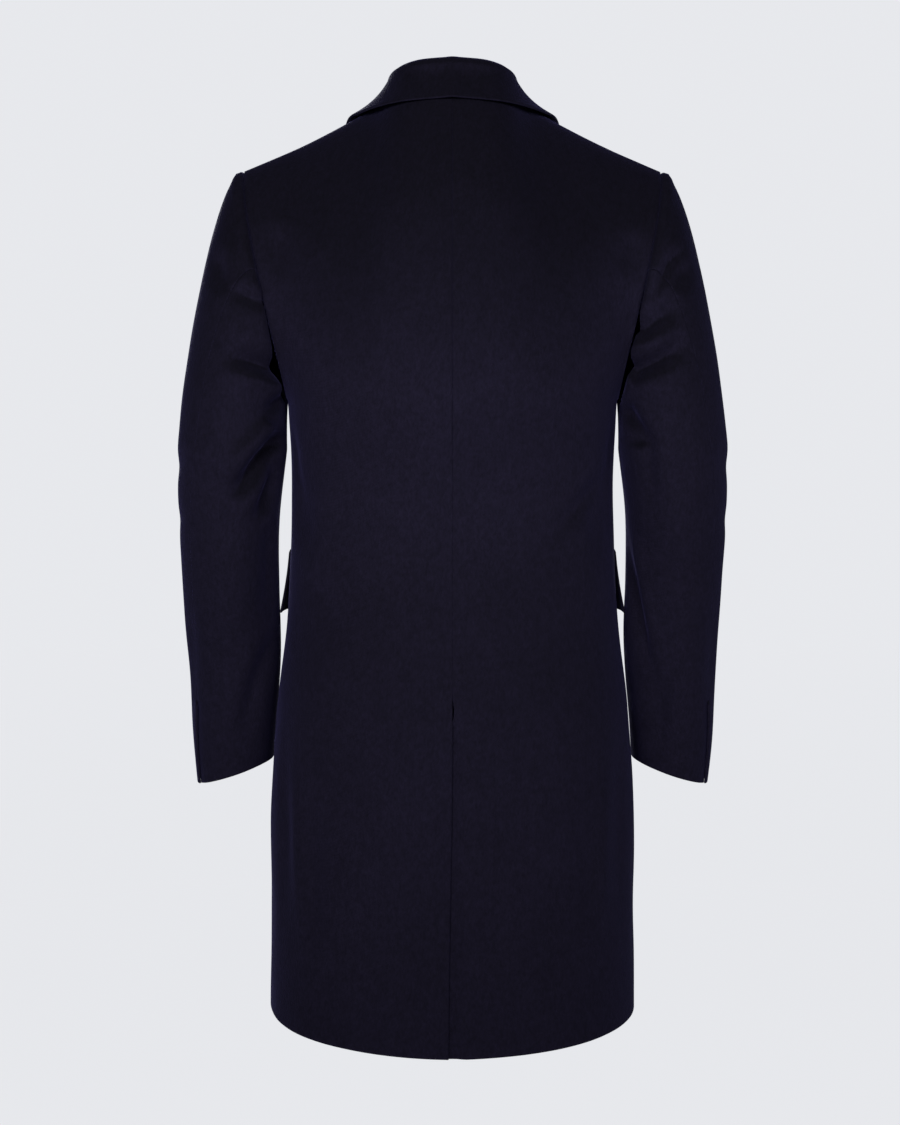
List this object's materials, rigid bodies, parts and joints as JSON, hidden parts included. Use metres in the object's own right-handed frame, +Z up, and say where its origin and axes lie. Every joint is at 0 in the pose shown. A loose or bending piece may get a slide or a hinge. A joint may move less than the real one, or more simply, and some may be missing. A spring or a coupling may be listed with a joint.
{
  "type": "wool overcoat",
  "caption": "Dark navy single-breasted wool overcoat, knee-length, filled out and hollow, with turned-down collar, notched lapels, flap pockets and a centre-back vent.",
  "frame": {"origin": "middle of the neck opening at the height of the nape, where the wearer's neck and shoulders carry the coat", "axes": "+Z up, -Y out of the coat's front, +X towards the coat's own left sleeve"},
  "size_m": [0.5992, 0.3218, 1.0465],
  "materials": {
    "wool": "brushed melton with a soft nap",
    "horn": "satin"
  },
  "bodies": {
    "root": {"back_left": "wool", "back_right": "wool", "front_left": "wool", "front_right": "wool", "lapel_left": "wool", "lapel_right": "wool", "collar": "wool", "sleeve_top_left": "wool", "sleeve_top_right": "wool", "sleeve_under_left": "wool", "sleeve_under_right": "wool", "pocket_flap_left": "wool", "pocket_flap_right": "wool", "button_1": "horn", "button_2": "horn", "button_3": "horn"}
  },
  "joints": []
}
